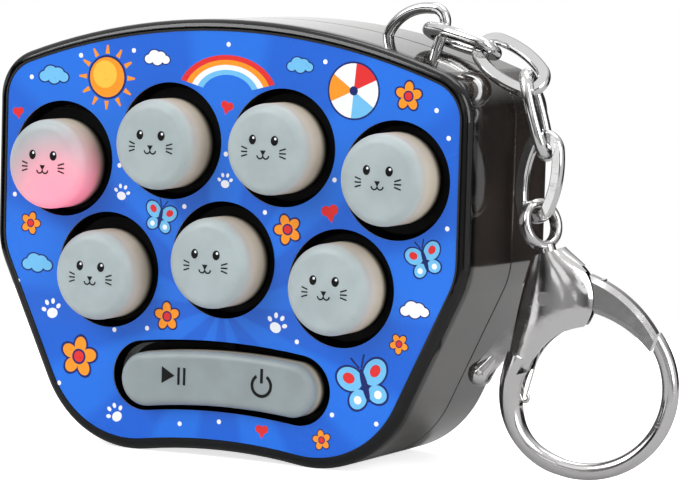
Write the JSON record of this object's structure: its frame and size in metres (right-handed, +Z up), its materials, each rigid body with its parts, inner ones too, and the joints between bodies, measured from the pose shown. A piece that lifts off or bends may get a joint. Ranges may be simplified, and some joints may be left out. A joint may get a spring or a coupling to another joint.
{
  "type": "electronic keychain game",
  "caption": "Pocket whack-the-rodent game: tapered smoked case, round light-up keys, bowed control key, wire bail, chain and swivel trigger clasp.",
  "frame": {"origin": "on the flat back of the case, straight behind the middle key of the lower row", "axes": "+Z up along the upright case, -Y out of the face with the keys, +X towards the side that carries the bail and the clasp"},
  "size_m": [0.0939, 0.0293, 0.0603],
  "materials": {
    "smoked_shell": "polished dark smoked, faintly see-through",
    "printed_label": "glossy print, blue ground",
    "milky_silicone": "translucent milky, satin",
    "green_board": "solder mask",
    "lamp_resin": "clear moulded",
    "black_resin": "matte",
    "component_metal": "satin",
    "steel_screws": "machined",
    "speaker_frame": "matte",
    "cell_steel": "satin",
    "contact_spring": "plated",
    "chrome_wire": "polished plating",
    "chrome_casting": "polished plating over a casting",
    "pin_steel": "polished"
  },
  "bodies": {
    "case": {"front_housing": "smoked_shell", "rear_housing": "smoked_shell", "face_label": "printed_label", "keypad_mat": "milky_silicone", "circuit_board": "green_board", "key_leds": "lamp_resin", "sound_chip": "black_resin", "board_components": "component_metal", "board_screws": "steel_screws", "speaker": "speaker_frame", "battery_cells": "cell_steel", "battery_contacts": "contact_spring", "battery_door": "smoked_shell", "door_screw": "steel_screws", "case_screws": "steel_screws", "wire_bail": "chrome_wire"},
    "whack_key_1": {"whack_key_1": "milky_silicone"},
    "whack_key_2": {"whack_key_2": "milky_silicone"},
    "whack_key_3": {"whack_key_3": "milky_silicone"},
    "whack_key_4": {"whack_key_4": "milky_silicone"},
    "whack_key_5": {"whack_key_5": "milky_silicone"},
    "whack_key_6": {"whack_key_6": "milky_silicone"},
    "whack_key_7": {"whack_key_7": "milky_silicone"},
    "control_key": {"control_key": "milky_silicone"},
    "chain_link_1": {"chain_link_1": "chrome_wire"},
    "chain_link_2": {"chain_link_2": "chrome_wire"},
    "chain_link_3": {"chain_link_3": "chrome_wire"},
    "chain_link_4": {"chain_link_4": "chrome_wire"},
    "swivel_eye": {"swivel_eye": "chrome_casting"},
    "clasp": {"clasp_body": "chrome_casting", "gate_pin": "pin_steel", "gate_spring": "contact_spring"},
    "gate": {"gate_lever": "chrome_casting"}
  },
  "joints": [
    {"name": "key_1_press", "type": "slide", "parent": "case", "child": "whack_key_1", "axis": [0, 1, 0], "range_m": [0, 0.001], "stiffness_N_per_m": 400, "springref_m": -0.0005},
    {"name": "key_2_press", "type": "slide", "parent": "case", "child": "whack_key_2", "axis": [0, 1, 0], "range_m": [0, 0.001], "stiffness_N_per_m": 400, "springref_m": -0.0005},
    {"name": "key_3_press", "type": "slide", "parent": "case", "child": "whack_key_3", "axis": [0, 1, 0], "range_m": [0, 0.001], "stiffness_N_per_m": 400, "springref_m": -0.0005},
    {"name": "key_4_press", "type": "slide", "parent": "case", "child": "whack_key_4", "axis": [0, 1, 0], "range_m": [0, 0.001], "stiffness_N_per_m": 400, "springref_m": -0.0005},
    {"name": "key_5_press", "type": "slide", "parent": "case", "child": "whack_key_5", "axis": [0, 1, 0], "range_m": [0, 0.001], "stiffness_N_per_m": 400, "springref_m": -0.0005},
    {"name": "key_6_press", "type": "slide", "parent": "case", "child": "whack_key_6", "axis": [0, 1, 0], "range_m": [0, 0.001], "stiffness_N_per_m": 400, "springref_m": -0.0005},
    {"name": "key_7_press", "type": "slide", "parent": "case", "child": "whack_key_7", "axis": [0, 1, 0], "range_m": [0, 0.001], "stiffness_N_per_m": 400, "springref_m": -0.0005},
    {"name": "control_key_rock", "type": "hinge", "parent": "case", "child": "control_key", "pos_m": [0, -0.0225, -0.0153], "axis": [0, 0, 1], "range_deg": [-3, 3], "stiffness_Nm_per_rad": 0.02},
    {"name": "link_1_swing", "type": "hinge", "parent": "case", "child": "chain_link_1", "pos_m": [0.02225, -0.01068, 0.0303], "axis": [-0.2164, -0.9763, 0], "range_deg": [0, 75]},
    {"name": "link_2_swing", "type": "hinge", "parent": "chain_link_1", "child": "chain_link_2", "pos_m": [0.03233, -0.01292, 0.02838], "axis": [-0.1165, -0.8948, 0.431], "range_deg": [0, 30]},
    {"name": "link_3_swing", "type": "hinge", "parent": "chain_link_2", "child": "chain_link_3", "pos_m": [0.03812, -0.01512, 0.02357], "axis": [0.9811, 0.1933, 0], "range_deg": [-60, 10]},
    {"name": "link_4_swing", "type": "hinge", "parent": "chain_link_3", "child": "chain_link_4", "pos_m": [0.04119, -0.01487, 0.01555], "axis": [0.1734, -0.9834, 0.053], "range_deg": [0, 30]},
    {"name": "eye_swing", "type": "hinge", "parent": "chain_link_4", "child": "swivel_eye", "pos_m": [0.03955, -0.01487, 0.0076], "axis": [0.9824, -0.1033, -0.1556], "range_deg": [-30, 10]},
    {"name": "clasp_swivel", "type": "hinge", "parent": "swivel_eye", "child": "clasp", "pos_m": [0.04066, -0.01492, 0.00674], "axis": [-0.3023, -0.0642, 0.9511], "continuous": true},
    {"name": "gate_pivot", "type": "hinge", "parent": "clasp", "child": "gate", "pos_m": [0.04205, -0.01462, -0.00247], "axis": [-0.2079, 0.9781, 0], "range_deg": [0, 10], "stiffness_Nm_per_rad": 0.02, "springref_deg": -11.46}
  ]
}
